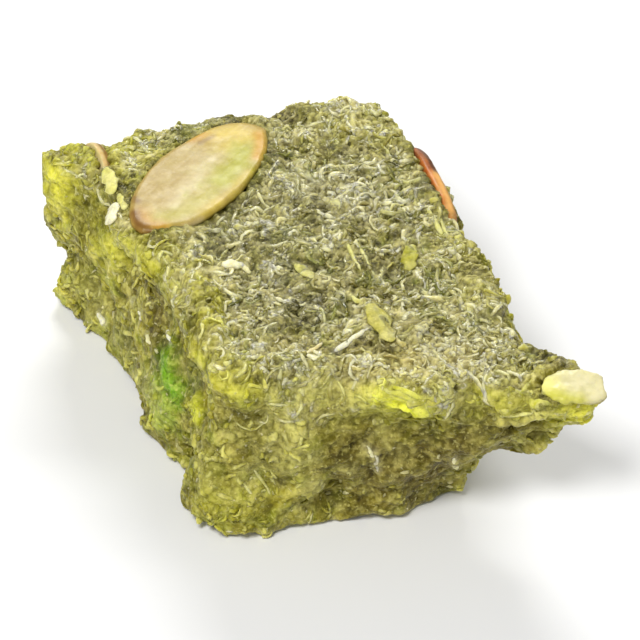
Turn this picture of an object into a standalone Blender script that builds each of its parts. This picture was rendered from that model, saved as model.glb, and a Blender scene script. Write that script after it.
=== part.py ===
"""One hand-cut piece of bottle gourd halwa with almonds pressed into it.

Metres, +Z up. The piece lies on its flat base at z = 0, its front cut face towards -Y.
A place on the block is given by its shares u (left to right), v (front to back) and w (base to top).
The named sizes are in millimetres.
"""

import math

import bmesh
import bpy
from mathutils import Matrix, Vector, noise

MM = 0.001

# The block: a diamond cut by hand. Each corner is (x, y), seen from above.
THICKNESS = 23.0
TOP_CORNERS = {
    "front_left": (-11.3, -21.3),
    "front_right": (31.2, -23.5),
    "back_right": (8.7, 22.6),
    "back_left": (-27.9, 18.0),
}
BASE_CORNERS = {
    "front_left": (-12.0, -23.6),
    "front_right": (16.8, -17.8),
    "back_right": (9.5, 22.5),
    "back_left": (-31.6, 16.5),
}
EDGE_LENGTHS = (44.0, 44.0, THICKNESS)
GRID_STEP = 1.3

# Radii of the block's edges, and what is added where an edge rolls over or a corner is blunt or sharp.
TOP_EDGE_RADIUS = 2.0
BASE_EDGE_RADIUS = 1.2
FRONT_ROLL = 2.6
BLUNT_CORNER = 2.2
SHARP_CORNER = -0.9
CORNER_WIDTH = 0.15

# Uneven cuts along the sides: how far each moves the side in, then its middle and half width as shares of v.
RIGHT_WAIST = (4.0, 0.24, 0.19)
RIGHT_DENT = (1.1, 0.60, 0.04)
LEFT_TOP_WAIST = (1.2, 0.35, 0.28)
LEFT_BASE_WAIST = (1.2, 0.66, 0.20)
# The chunk that stands out at the back left corner, likewise, and the heights between which it starts.
CORNER_CHUNK = (4.6, 0.97, 0.14)
CHUNK_FOOT = (0.25, 0.65)
# How far the back and the foot of the front bulge out, and the shares of their length over which each rises at
# its left and falls at its right.
BACK_BULGE = 4.4
BACK_RUN = (0.42, 0.10)
FRONT_FOOT_BULGE = 1.5
FRONT_FOOT_RUN = (0.25, 0.20)

# Crags and crumbs all over: the size of one and its height.
CRAGS = (6.5, 1.7)
CRUMBS = (2.9, 0.7)
# Marks in a cut face: middle and half width along it, the same up it, and how far each stands out.
LEFT_MARKS = {
    "furrow": ((0.80, 0.06), (0.25, 0.30), -2.2),
    "notch": ((0.23, 0.05), (0.08, 0.20), -2.4),
    "tab": ((0.40, 0.12), (0.10, 0.20), 1.0),
    "foot": ((0.07, 0.09), (0.18, 0.20), 1.6),
}
FRONT_MARKS = {
    "belly": ((0.22, 0.14), (0.10, 0.25), 0.9),
}
# Torn flaps along a top edge: middle and half width along it, and how far each stands out.
LEFT_FLAPS = ((0.30, 0.15, 1.2), (0.66, 0.08, 1.3))
FRONT_FLAPS = ((0.06, 0.07, 1.1), (0.52, 0.09, 1.7), (0.84, 0.15, 2.1))
# Heights of the flaps and of the hollow below them: middle, half width and strength.
FLAP_LEVEL = (0.93, 0.075, 1.0)
FLAP_HOLLOW = (0.74, 0.09, -0.35)
# How deep into the block, as a share, the marks and flaps of a face reach.
FACE_REACH = 0.07

# The almonds. Turns are in degrees: roll about the length, pitch, then spin about Z. The shape says how much
# narrower the end at +X is, how far the ends are raised, and how uneven the outline is.
ALMONDS = {
    "almond_slice_top": {
        "surface": "almond_cream",
        "at": (-14.1, 11.8, 23.5),
        "turns": {"roll": -3.0, "pitch": 1.0, "spin": 55.5},
        "sizes": {"length": 23.2, "width": 11.4, "thickness": 1.2},
        "shape": {"taper": 0.05, "bend": -0.2, "ragged": 0.05},
    },
    "almond_sliver_right": {
        "surface": "almond_skin",
        "at": (13.2, 12.0, 21.9),
        "turns": {"roll": 68.0, "pitch": 2.0, "spin": -72.0},
        "sizes": {"length": 13.8, "width": 2.8, "thickness": 1.4},
        "shape": {"taper": -0.2, "bend": -0.2, "ragged": 0.04},
    },
    "almond_chip_left": {
        "surface": "almond_skin",
        "at": (-26.2, 15.9, 22.25),
        "turns": {"roll": 66.0, "pitch": 6.0, "spin": -64.0},
        "sizes": {"length": 6.0, "width": 3.0, "thickness": 1.2},
        "shape": {"taper": 0.2, "bend": 0.0, "ragged": 0.08},
    },
    "almond_flake_corner": {
        "surface": "almond_pale",
        "at": (28.6, -23.3, 22.9),
        "turns": {"roll": 8.0, "pitch": 6.0, "spin": -4.0},
        "sizes": {"length": 7.6, "width": 4.8, "thickness": 0.8},
        "shape": {"taper": 0.0, "bend": -0.3, "ragged": 0.20},
    },
}
# The room that each almond leaves in the block on every side.
CLEARANCE = 0.3
RIM_POINTS = 24
# Rings of a slice from its underside to its upper side: share of the outline, share of half the thickness.
SLICE_PROFILE = ((0.55, -1.0), (0.94, -1.0), (0.99, -0.6), (1.0, 0.0), (0.99, 0.6), (0.94, 1.0), (0.55, 1.0))
# The size, as a share of the outline's radius, of the bumps that make an almond's outline uneven.
RAGGED_SIZE = 0.45

# Colour and roughness of each surface.
SURFACES = {
    "halwa": ((0.30, 0.27, 0.075, 1.0), 0.35),
    "almond_cream": ((0.80, 0.66, 0.36, 1.0), 0.45),
    "almond_pale": ((0.86, 0.78, 0.55, 1.0), 0.45),
    "almond_skin": ((0.47, 0.20, 0.06, 1.0), 0.40),
}
SHARP_ANGLE = 50.0


def clear_scene():
    """Empties the scene of whatever it opened with."""
    for found in list(bpy.data.objects):
        bpy.data.objects.remove(found, do_unlink=True)


def material(name):
    """The plain material of a surface, made once."""
    made = bpy.data.materials.get(name)
    if made is None:
        colour, roughness = SURFACES[name]
        made = bpy.data.materials.new(name)
        made.use_nodes = True
        shader = made.node_tree.nodes["Principled BSDF"]
        shader.inputs["Base Color"].default_value = colour
        shader.inputs["Roughness"].default_value = roughness
        shader.inputs["Metallic"].default_value = 0.0
        made.diffuse_color = colour
    return made


def bump(value, middle, width):
    """A bell curve: 1 at the middle, falling away over the width."""
    return math.exp(-(((value - middle) / width) ** 2))


def smooth_step(value, low, high):
    """0 below low, 1 above high, and a smooth rise between them."""
    share = min(1.0, max(0.0, (value - low) / (high - low)))
    return share * share * (3.0 - 2.0 * share)


def swell(value, reach, middle, width):
    """How far something of this reach stands out at a value near its middle."""
    return reach * bump(value, middle, width)


def plateau(value, rise, fall):
    """1 along most of a side, with a smooth rise from its start and a smooth fall to its end."""
    return smooth_step(value, 0.0, rise) * smooth_step(1.0 - value, 0.0, fall)


def block_point(u, v, w):
    """The place of a share of the block before its relief."""
    point = Vector((0.0, 0.0, w * THICKNESS))
    for name in TOP_CORNERS:
        along_u = u if "right" in name else 1.0 - u
        along_v = v if "back" in name else 1.0 - v
        # The front right corner stands out like a shelf, and the block is cut away below it.
        height = smooth_step(w, 0.1, 0.8) if name == "front_right" else w
        corner = Vector(BASE_CORNERS[name]).lerp(Vector(TOP_CORNERS[name]), height)
        point += corner.to_3d() * along_u * along_v
    return point + side_bow(u, v, w)


def side_bow(u, v, w):
    """How far the uneven cuts move this place sideways."""
    left = swell(v, *LEFT_TOP_WAIST) * w + swell(v, *LEFT_BASE_WAIST) * (1.0 - w)
    right = swell(v, *RIGHT_WAIST) * smooth_step(v, 0.0, 0.2) * (0.4 + 0.6 * w) + swell(v, *RIGHT_DENT)
    chunk = swell(v, *CORNER_CHUNK) * bump(u, 0.0, 0.12) * smooth_step(w, *CHUNK_FOOT)
    back = BACK_BULGE * plateau(u, *BACK_RUN)
    foot = FRONT_FOOT_BULGE * plateau(u, *FRONT_FOOT_RUN) * (1.0 - w)
    x = left * (1.0 - u) ** 2 - right * u**2 - chunk
    y = back * v**2 - foot * (1.0 - v) ** 2
    return Vector((x, y, 0.0))


def edge_radius(u, v, w):
    """The radius of the block's nearest edge."""
    radius = BASE_EDGE_RADIUS + (TOP_EDGE_RADIUS - BASE_EDGE_RADIUS) * smooth_step(w, 0.1, 0.7)
    front = bump(v, 0.0, CORNER_WIDTH)
    radius += FRONT_ROLL * bump(u, 0.28, CORNER_WIDTH) * front * bump(w, 1.0, 0.3)
    radius += BLUNT_CORNER * bump(u, 0.0, CORNER_WIDTH) * front * (1.0 - w)
    radius += SHARP_CORNER * bump(u, 1.0, CORNER_WIDTH) * front * bump(w, 1.0, 0.4)
    return radius


def rounded(u, v, w):
    """Rounds the edges of the unit block: new shares, and the way that the surface faces there."""
    radius = edge_radius(u, v, w)
    inner, outward = [], []
    for share, length in zip((u, v, w), EDGE_LENGTHS):
        place = share * length
        kept = min(length - radius, max(radius, place))
        inner.append(kept)
        outward.append(place - kept)
    facing = Vector(outward).normalized()
    shares = [(kept + side * radius) / length for kept, side, length in zip(inner, facing, EDGE_LENGTHS)]
    return shares, facing


def marks(along, w, listed):
    """How far the listed marks stand out at this share along their face and up it."""
    return sum(height * bump(along, *place) * bump(w, *level) for place, level, height in listed.values())


def flaps(along, w, listed):
    """How far the listed flaps stand out at this share along their edge, and the hollow below them."""
    level = sum(strength * bump(w, middle, width) for middle, width, strength in (FLAP_LEVEL, FLAP_HOLLOW))
    return level * sum(reach * bump(along, middle, width) for middle, width, reach in listed)


def relief(u, v, w, point, facing):
    """How far the surface stands out at these shares. The level top has lower crags than the cut sides."""
    crag_size, crag_height = CRAGS
    crumb_size, crumb_height = CRUMBS
    steepness = 1.0 - 0.45 * abs(facing.z)
    height = crag_height * steepness * noise.noise(point / crag_size + Vector((3.1, 7.7, 1.3)))
    height += crumb_height * noise.noise(point / crumb_size + Vector((9.2, 0.4, 5.8)))
    ragged = 0.75 + 0.9 * noise.noise(Vector((u * 11.0, v * 11.0, 4.4)))
    left = ragged * flaps(v, w, LEFT_FLAPS) + marks(v, w, LEFT_MARKS)
    front = ragged * flaps(u, w, FRONT_FLAPS) + marks(u, w, FRONT_MARKS)
    return height + left * bump(u, 0.0, FACE_REACH) + front * bump(v, 0.0, FACE_REACH)


def grid_box():
    """A closed unit box whose faces are divided into a grid of about GRID_STEP."""
    box = bmesh.new()
    bmesh.ops.create_cube(box, size=1.0, matrix=Matrix.Translation((0.5, 0.5, 0.5)))
    for axis, length in enumerate(EDGE_LENGTHS):
        along = [e for e in box.edges if abs(e.verts[0].co[axis] - e.verts[1].co[axis]) > 0.5]
        cuts = round(length / GRID_STEP) - 1
        bmesh.ops.subdivide_edges(box, edges=along, cuts=cuts, use_grid_fill=True)
    return box


def halwa_block():
    """The cut block: rounded edges, crags, torn flaps and a flat base that is one face."""
    block = grid_box()
    base = set()
    for vertex in block.verts:
        u, v, w = vertex.co
        shares, facing = rounded(u, v, w)
        point = block_point(*shares)
        if w < 1e-6 and facing.z < -0.999:
            base.add(vertex)
        else:
            point += facing * relief(u, v, w, point, facing)
            point.z = max(point.z, 0.0)
        vertex.co = point * MM
    under = [f for f in block.faces if all(v in base for v in f.verts)]
    bmesh.ops.dissolve_faces(block, faces=under, use_verts=True)
    return finished("halwa_block", block, "halwa")


def finished(name, shape, surface):
    """Turns a bmesh into a named object with outward faces, smooth shading and one material."""
    bmesh.ops.recalc_face_normals(shape, faces=shape.faces)
    mesh = bpy.data.meshes.new(name)
    shape.to_mesh(mesh)
    shape.free()
    mesh.shade_smooth()
    mesh.set_sharp_from_angle(angle=math.radians(SHARP_ANGLE))
    mesh.materials.append(material(surface))
    made = bpy.data.objects.new(name, mesh)
    bpy.context.scene.collection.objects.link(made)
    return made


def slice_outline(length, width, taper, ragged):
    """Points round the outline of an almond slice."""
    points = []
    for step in range(RIM_POINTS):
        turn = 2.0 * math.pi * step / RIM_POINTS
        around = Vector((math.cos(turn), math.sin(turn), 0.0))
        reach = 1.0 + ragged * noise.noise(around / RAGGED_SIZE + Vector((2.6, 5.1, length)))
        x = length / 2.0 * around.x
        y = width / 2.0 * around.y * (1.0 - taper * around.x)
        points.append(Vector((x, y, 0.0)) * reach)
    return points


def almond_slice(name, surface, sizes, shape, margin=0.0):
    """A slice of almond, larger by a margin on every side: a plate with a rounded rim, its ends raised."""
    length, width, thickness = (sizes[side] for side in ("length", "width", "thickness"))
    plate = bmesh.new()
    outline = slice_outline(length, width, shape["taper"], shape["ragged"])
    rings = []
    for share, height in SLICE_PROFILE:
        level = Vector((0.0, 0.0, height * (thickness / 2.0 + margin)))
        points = [p * share + p.normalized() * margin + level for p in outline]
        rings.append([plate.verts.new(p) for p in points])
    for lower, upper in zip(rings, rings[1:]):
        for step in range(RIM_POINTS):
            ahead = (step + 1) % RIM_POINTS
            plate.faces.new((lower[step], lower[ahead], upper[ahead], upper[step]))
    for ring in (rings[0], rings[-1]):
        cap = plate.faces.new(ring)
        bmesh.ops.poke(plate, faces=[cap])
    for vertex in plate.verts:
        vertex.co.z += shape["bend"] * (2.0 * vertex.co.x / length) ** 2
        vertex.co *= MM
    return finished(name, plate, surface)


def place(piece, at, turns):
    """Puts a piece at a point, turned."""
    piece.rotation_mode = "XYZ"
    piece.rotation_euler = [math.radians(turns[turn]) for turn in ("roll", "pitch", "spin")]
    piece.location = Vector(at) * MM


def press_in(block, name, surface, at, turns, sizes, shape):
    """Adds a piece of almond and cuts the room for it out of the block."""
    piece = almond_slice(name, surface, sizes, shape)
    place(piece, at, turns)
    room = almond_slice(name + "_room", surface, sizes, shape, CLEARANCE)
    place(room, at, turns)
    room.hide_render = True
    room.display_type = "WIRE"
    cut = block.modifiers.new(name + "_pocket", "BOOLEAN")
    cut.operation = "DIFFERENCE"
    cut.solver = "EXACT"
    cut.object = room


def centre_over_origin():
    """Moves everything so that the origin lies under the middle of the whole piece."""
    bpy.context.view_layer.update()
    kept = [piece for piece in bpy.data.objects if not piece.hide_render]
    points = [piece.matrix_world @ vertex.co for piece in kept for vertex in piece.data.vertices]
    for axis in (0, 1):
        lowest = min(p[axis] for p in points)
        highest = max(p[axis] for p in points)
        for piece in bpy.data.objects:
            piece.location[axis] -= (lowest + highest) / 2.0


def main():
    clear_scene()
    bpy.context.scene.unit_settings.system = "METRIC"
    block = halwa_block()
    for name, almond in ALMONDS.items():
        press_in(block, name, **almond)
    centre_over_origin()


main()
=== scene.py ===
"""The looks of one diamond-cut piece of green bottle gourd halwa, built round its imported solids.

The cut block is shown as a fine crumbly mesh that is taken from its solid. Shreds, crumbs and bits of cooked
gourd are scattered over it as meshes of their true size. Each almond is a finer mesh of its own solid, with
skin and grain. The piece's lengths are in millimetres, and MM turns them into metres where Blender gets them.
Those of the floor, the lights and the camera's clipping are in metres.
"""

import math
from dataclasses import dataclass
from itertools import combinations

import bpy
import numpy as np
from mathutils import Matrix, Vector, noise
from mathutils.bvhtree import BVHTree
from mathutils.kdtree import KDTree


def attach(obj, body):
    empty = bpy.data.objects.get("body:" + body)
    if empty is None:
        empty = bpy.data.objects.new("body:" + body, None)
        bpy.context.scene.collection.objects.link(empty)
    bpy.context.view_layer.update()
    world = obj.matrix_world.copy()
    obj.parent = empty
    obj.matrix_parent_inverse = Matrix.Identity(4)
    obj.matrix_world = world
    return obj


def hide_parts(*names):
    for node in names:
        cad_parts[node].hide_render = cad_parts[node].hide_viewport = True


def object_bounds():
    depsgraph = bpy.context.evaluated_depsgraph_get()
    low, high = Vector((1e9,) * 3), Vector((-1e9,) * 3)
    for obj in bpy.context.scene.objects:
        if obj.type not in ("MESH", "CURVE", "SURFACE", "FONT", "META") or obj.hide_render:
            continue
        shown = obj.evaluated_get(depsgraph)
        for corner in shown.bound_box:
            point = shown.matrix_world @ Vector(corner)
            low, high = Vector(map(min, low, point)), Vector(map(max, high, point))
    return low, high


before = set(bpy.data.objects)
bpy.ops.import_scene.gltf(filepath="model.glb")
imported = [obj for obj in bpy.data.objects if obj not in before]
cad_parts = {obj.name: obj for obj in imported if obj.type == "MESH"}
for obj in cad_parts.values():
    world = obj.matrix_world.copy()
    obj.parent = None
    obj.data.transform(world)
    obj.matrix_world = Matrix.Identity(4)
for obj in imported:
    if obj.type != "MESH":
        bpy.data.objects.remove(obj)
CAD_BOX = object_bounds()

MM = 0.001
SEED = 41

# The photo's view of this piece: it looks down at 43 degrees along +Y.
VIEW_ELEVATION = 43.0
VIEW_DISTANCE = 700.0
VIEW_TARGET = (0.20, -0.81, 11.5)
PHOTO_FOCAL = 2050.0  # focal length in pixels of the photo
PHOTO_TARGET = (384.0, 284.0)  # the photo's pixel where VIEW_TARGET shows
WINDOW = 220.0  # side, in pixels of the photo, of the square that the render shows
SENSOR = 36.0

# Sizes on the body's surface: its mesh, its knolls, its crumbly lumps, its grains, its finest strands, the
# spots of its hue, and the clumps and spots that are lighter and darker.
BODY_VOXEL = 0.32
KNOLL_SIZE = 5.0
LUMP_SIZE = 2.6
GRAIN_SIZE = 1.1
THREAD_SIZE = 1.35
HUE_SIZE = 2.2
CLUMP_SIZE = 4.5
TONE_SIZE = 1.7
# How far apart the places are where the strands lie in another direction, and how well they follow it.
FLOW_SIZE = 6.0
FLOW = 4.0
# How much more the solid's own relief stands out, close up and further out, as a share of it.
NEAR_RELIEF = 0.30
FAR_RELIEF = 0.45
# Rounds of smoothing: of the solid's facets, for the surfaces that its own relief is measured from, and for
# the one that the crests of the crumbly relief stand out from.
FACET_ROUNDS = 6
NEAR_ROUNDS = 40
FAR_ROUNDS = 110
CREST_ROUNDS = 8
# The heights between which the sides turn into the top face.
TOP_HEIGHTS = (16.0, 19.0)
# How far the mash is banked up round an almond, and how wide the bank is.
BANK = (0.55, 1.2)
# How far a strand draws up the mash beside it, and how wide that reaches.
FILLET = (0.16, 0.32)
# How far shreds and crumbs keep from the almonds.
CLEARANCE = 0.6

# How moist food bends light, how red, green and blue light sink into it, and the tints of its highlights.
MOIST_IOR = 1.36
SINKING = (1.0, 0.9, 0.35)
WARM = (1.0, 0.96, 0.76)
WARMER = (1.0, 0.92, 0.55)
# The sockets of a colour mix node: its share, its two colours and its result.
MIX_SHARE, MIX_FIRST, MIX_SECOND, MIX_RESULT = 0, 6, 7, 2
# The strength of the white light from all round.
SURROUND = 0.32


def srgb(red, green, blue):
    """The linear colour of an 8-bit screen colour."""
    share = np.array([red, green, blue]) / 255.0
    return np.where(share <= 0.04045, share / 12.92, ((share + 0.055) / 1.055) ** 2.4)


OLIVE = srgb(142, 136, 30)
MOSS = srgb(110, 103, 20)
BROWN = srgb(118, 101, 26)
GREEN = srgb(180, 178, 46)
LIME = srgb(213, 209, 68)
VIVID = srgb(206, 210, 40)
PALE = srgb(238, 228, 172)
LEMON = srgb(242, 233, 140)
STRAW = srgb(214, 208, 120)
HAZE = srgb(150, 147, 62)
SAGE = srgb(140, 137, 62)
GREY = srgb(146, 142, 98)
LEAF = srgb(190, 182, 80)
PEEL = srgb(120, 176, 12)
PEEL_LIGHT = srgb(190, 210, 84)
LEDGE = srgb(182, 184, 104)
SHADE = srgb(112, 122, 50)
ROSE = srgb(234, 214, 156)
WHITE = srgb(246, 240, 206)

NUT_CREAM = srgb(170, 146, 78)
NUT_IVORY = srgb(194, 178, 128)
NUT_GREEN = srgb(164, 162, 20)
NUT_GOLD = srgb(200, 176, 76)
NUT_ORANGE = srgb(190, 136, 24)
NUT_BROWN = srgb(112, 74, 26)
NUT_SKIN = srgb(190, 106, 44)
NUT_PEACH = srgb(216, 164, 92)
NUT_DARK = srgb(120, 66, 34)
NUT_WHITE = srgb(214, 206, 160)
# How a colour turns greener, browner, or deeper in a shaded and wet place.
GREENER = np.array([0.84, 1.0, 1.0])
BROWNER = np.array([0.94, 0.85, 0.92])
DEEPER = np.array([0.32, 0.30, 0.08])
# How an almond's face is tinted in its streaks and in its blotches.
STREAKED = np.array([0.90, 0.86, 0.74])
BLOTCHED = np.array([0.95, 0.97, 0.76])

# Lines of the photo's pixels that more than one table uses.
FRINGE = ((341, 270), (346, 278), (347, 292))
YELLOW_SPOT = ((342, 313), (343, 318))
LOBE = ((407, 307), (417, 312))
LONG_BIT = ((400, 280), (410, 291))
SHELF_LINE = ((446, 318), (452, 317), (457, 316), (462, 313))
TOP_HOLLOW = ((368, 272), (375, 275))

# Patches that stand out on the halwa, some of them painted light or shade: a line of the photo's pixels, a
# radius in millimetres, the colour and its strength.
PATCHES = {
    "chunk": (((295, 234), (294, 241)), 3.2, LIME * 1.5, 0.85),
    "chunk_top": (((300, 230), (307, 230)), 2.6, LIME * 1.3, 0.7),
    "chunk_shade": (((303, 242), (304, 250)), 2.2, MOSS, 0.7),
    "furrow": (((300, 262), (303, 268)), 2.2, HAZE * 0.8, 0.7),
    "back_left": (((316, 226), (318, 231), (324, 226)), 2.6, LIME * 1.2, 0.8),
    "left_rim": (((306, 276), (307, 281)), 2.2, STRAW * 0.85, 0.8),
    "below_slice": (((311, 261), (320, 259), (333, 263)), 2.6, LIME * 1.1, 0.85),
    # Painted shadow under the overhang of the fringe above it.
    "shade_under_fringe": (((324, 270), (328, 279), (327, 287)), 3.0, BROWN * 0.7, 0.9),
    "left_low": (((333, 291), (336, 284)), 1.8, MOSS, 0.7),
    "left_pale": (((314, 288), (320, 299)), 1.8, LEDGE * 0.55, 0.8),
    "fringe": (FRINGE, 1.9, LIME * 1.2, 0.95),
    "tuft": (((351, 302), (358, 305)), 2.2, LIME * 1.25, 0.95),
    "corner_dark": (((358, 316), (362, 328)), 2.6, MOSS, 0.9),
    "front_strip": (((375, 316), (375, 326), (373, 334)), 2.2, STRAW, 0.8),
    "front_green": (((387, 323), (392, 324)), 1.8, OLIVE * 1.3, 0.7),
    "front_haze": (((344, 324), (347, 338)), 2.4, HAZE * 0.9, 0.7),
    "yellow_spot": (YELLOW_SPOT, 1.0, VIVID * 1.2, 0.95),
    "beside_peel": (((341, 298), (340, 309)), 1.3, SHADE, 0.8),
    "peel_light": (((331, 314), (330, 318), (327, 308)), 2.2, PEEL_LIGHT, 0.9),
    "peel": (((330, 299), (331, 304), (334, 309)), 2.0, PEEL, 1.0),
    "peel_rim": (((323, 303), (326, 310)), 1.4, LEDGE, 0.9),
    "front_foot": (((347, 345), (358, 347)), 2.8, LIME * 0.8, 0.6),
    "front_top": (((372, 307), (386, 309), (402, 315)), 2.6, STRAW * 1.1, 0.7),
    "front_rim": (((398, 317), (412, 319), (424, 317)), 1.6, GREEN * 0.9, 0.6),
    # Painted light: the lobe's tint is brighter than a lit surface can give, a glow of light through its thin
    # flap over its own yellow-green.
    "lobe": (((407, 307), (412, 309), (417, 312)), 2.8, VIVID * 2.4, 1.0),
    "lobe_pale": (((421, 306), (427, 311), (434, 311)), 2.0, STRAW, 0.8),
    "lobe_back": (((404, 303), (411, 303), (419, 305)), 1.8, LEMON, 0.8),
    "rose": (((398, 300), (408, 299), (419, 297), (430, 298)), 3.0, ROSE, 0.65),
    "tip_lobe": (((441, 307), (447, 312)), 2.2, GREEN * 1.2, 0.8),
    "tip_shelf": (((450, 309), (457, 309)), 2.4, LIME * 0.8, 0.9),
    "tip_pale": (((457, 306), (462, 306)), 1.8, LEMON, 0.9),
    "shelf_line": (SHELF_LINE, 1.0, STRAW * 1.1, 0.9),
    "tip": (((469, 315), (474, 316)), 2.4, LIME * 1.5, 0.95),
    # Painted shade in the hollow under the shelf.
    "tip_hollow": (((450, 321), (458, 321)), 2.0, MOSS, 0.8),
    "tip_low": (((464, 318), (467, 320)), 1.6, GREEN, 0.7),
    "right_rim": (((430, 252), (432, 260), (438, 271)), 2.4, OLIVE * 1.3, 0.7),
    "right_edge": (((428, 253), (440, 277)), 1.6, STRAW, 0.6),
    # Painted highlight: the back corner is painted pale where it catches the light.
    "back_corner_highlight": (((388, 217), (398, 216), (403, 221)), 3.0, STRAW * 1.1, 0.8),
    "top_grey": (((362, 262), (372, 257), (385, 251)), 4.0, GREY, 0.5),
    "top_pale": (((378, 239), (387, 241), (395, 243)), 3.0, WHITE * 0.75, 0.9),
    "top_dark": (((366, 270), (372, 274), (377, 277)), 3.0, GREY * 0.3, 1.0),
    "top_dark_left": (((352, 250), (355, 260)), 2.4, GREY * 0.7, 0.6),
    # Painted shade on the front, which turns away from the light under the flaps.
    "front_shade": (((397, 328), (411, 332), (424, 332), (436, 327)), 5.0, BROWN * 0.6, 0.9),
    "front_low": (((400, 342), (418, 341)), 4.0, BROWN * 0.85, 0.85),
}
# Mounds and hollows that show: a line of the photo's pixels, and the radius and height in millimetres.
MOUNDS = {
    "fringe": (FRINGE, 1.6, 0.9),
    "tuft": (((352, 303), (358, 305)), 1.8, 1.0),
    "strip": (((376, 314), (375, 326), (372, 335)), 1.2, 0.6),
    "yellow_spot": (YELLOW_SPOT, 0.9, 0.5),
    "lobe": (LOBE, 1.8, 1.1),
    "lobe_side": (((423, 306), (427, 308)), 1.0, 0.6),
    "long_bit": (LONG_BIT, 0.9, 0.6),
    "green_bit": (((415, 259), (416, 264)), 0.9, 0.6),
    "tip_lobe": (((442, 307), (448, 312)), 1.4, 0.7),
    "shelf_edge": (SHELF_LINE, 0.7, 0.8),
    "shelf_hollow": (((450, 321), (459, 319)), 1.1, -0.9),
    "back_oval": (((312, 234), (313, 240)), 0.9, 0.5),
    "chunk": (((295, 234), (294, 243)), 2.2, 0.5),
    "foot": (((348, 345), (358, 347)), 2.0, 0.5),
    "top_dark": (TOP_HOLLOW, 1.8, -0.8),
}
# Patches on the almond slice on top.
SLICE_PATCHES = {
    "middle": (((347, 229), (343, 234), (338, 240), (335, 245)), 1.1, NUT_IVORY, 0.9),
    "middle_top": (((338, 225), (341, 227)), 1.0, NUT_IVORY, 0.6),
    "pale_end": (((346, 221), (355, 219), (359, 221), (353, 224)), 1.5, NUT_GOLD * 1.15, 0.8),
    "green_end": (((358, 226), (355, 231), (350, 236)), 2.2, NUT_GREEN, 0.95),
    "green_low": (((345, 241), (338, 247), (329, 249)), 1.5, NUT_GREEN * 1.1, 0.5),
    "orange_strip": (((363, 220), (363.5, 224), (362, 228)), 0.7, NUT_ORANGE * 1.15, 0.7),
    "orange_side": (((359, 233), (354, 239), (348, 244)), 0.5, NUT_GOLD, 0.6),
    "orange_low": (((349, 244), (344, 247)), 0.9, NUT_GOLD, 0.6),
    # Painted highlight along the slice's lower edge.
    "highlight_edge": (((343, 250), (338, 252.5)), 0.6, NUT_IVORY, 0.8),
    "tan_end": (((322, 248), (325, 251), (329, 252)), 1.2, NUT_ORANGE, 0.7),
    "brown_arc": (((320, 247), (321.5, 251), (326, 254)), 0.7, NUT_BROWN, 0.9),
    "brown_side": (((320, 242), (321, 243)), 0.5, NUT_BROWN, 0.7),
    "mottle": (((340, 222), (344, 220.5)), 0.8, NUT_ORANGE, 0.6),
    "mottle_low": (((343, 223), (347, 221)), 0.5, NUT_BROWN, 0.6),
}
# Patches on the other almonds.
SLIVER_PATCHES = {
    "dark_tip": (((417, 227),), 1.0, NUT_DARK, 0.8),
    "dark_line": (((418.5, 233), (420, 238), (422, 242)), 0.5, NUT_DARK, 0.7),
    # Painted highlight along the sliver's right side.
    "highlight_edge": (((424, 234), (426, 238), (428, 242), (429, 246)), 0.6, NUT_PEACH * 1.3, 0.9),
    "orange_end": (((426, 248), (429, 250)), 1.2, NUT_PEACH, 0.7),
}
CHIP_PATCHES = {
    "dark_side": (((304, 226), (304.5, 229)), 0.5, NUT_SKIN, 0.8),
}
FLAKE_PATCHES = {
    "green_side": (((461, 305), (463, 309)), 1.9, STRAW * 1.2, 0.9),
    "green_front": (((463, 310), (468, 311), (473, 312)), 1.1, GREEN * 1.15, 0.8),
    "white_side": (((472, 304), (478, 306)), 1.6, NUT_WHITE * 1.15, 0.6),
}
# Calm places with few shreds on them: a line of the photo's pixels and a radius.
CALM = {
    "peel": (((331, 299), (332, 304), (331, 314)), 2.4),
    "front": (((394, 326), (411, 330), (430, 330)), 7.0),
    "fringe": (FRINGE, 2.2),
    "tuft": (((352, 303), (358, 305)), 2.2),
    "lobe": (LOBE, 2.4),
    "shelf": (((452, 308), (464, 308)), 2.2),
    "tip": (((447, 312), (457, 317), (470, 313)), 2.0),
    "chunk": (((295, 232), (294, 243)), 2.6),
    "long_bit": (LONG_BIT, 1.9),
    "green_bit": (((415, 260), (416, 264)), 1.5),
    "pale_bit": (((351, 265), (357, 265)), 1.5),
    "light_bit": (((377, 266), (380, 270)), 1.4),
    "top_dark": (TOP_HOLLOW, 2.0),
    "white_fibre": (((389, 295), (401, 287)), 0.9),
}
# Where the curly strands of the top run down over the rim: a line of the photo's pixels and a radius.
RIM_STRANDS = ((366, 308), (380, 313), (398, 312), (424, 304), (440, 299)), 3.2

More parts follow.
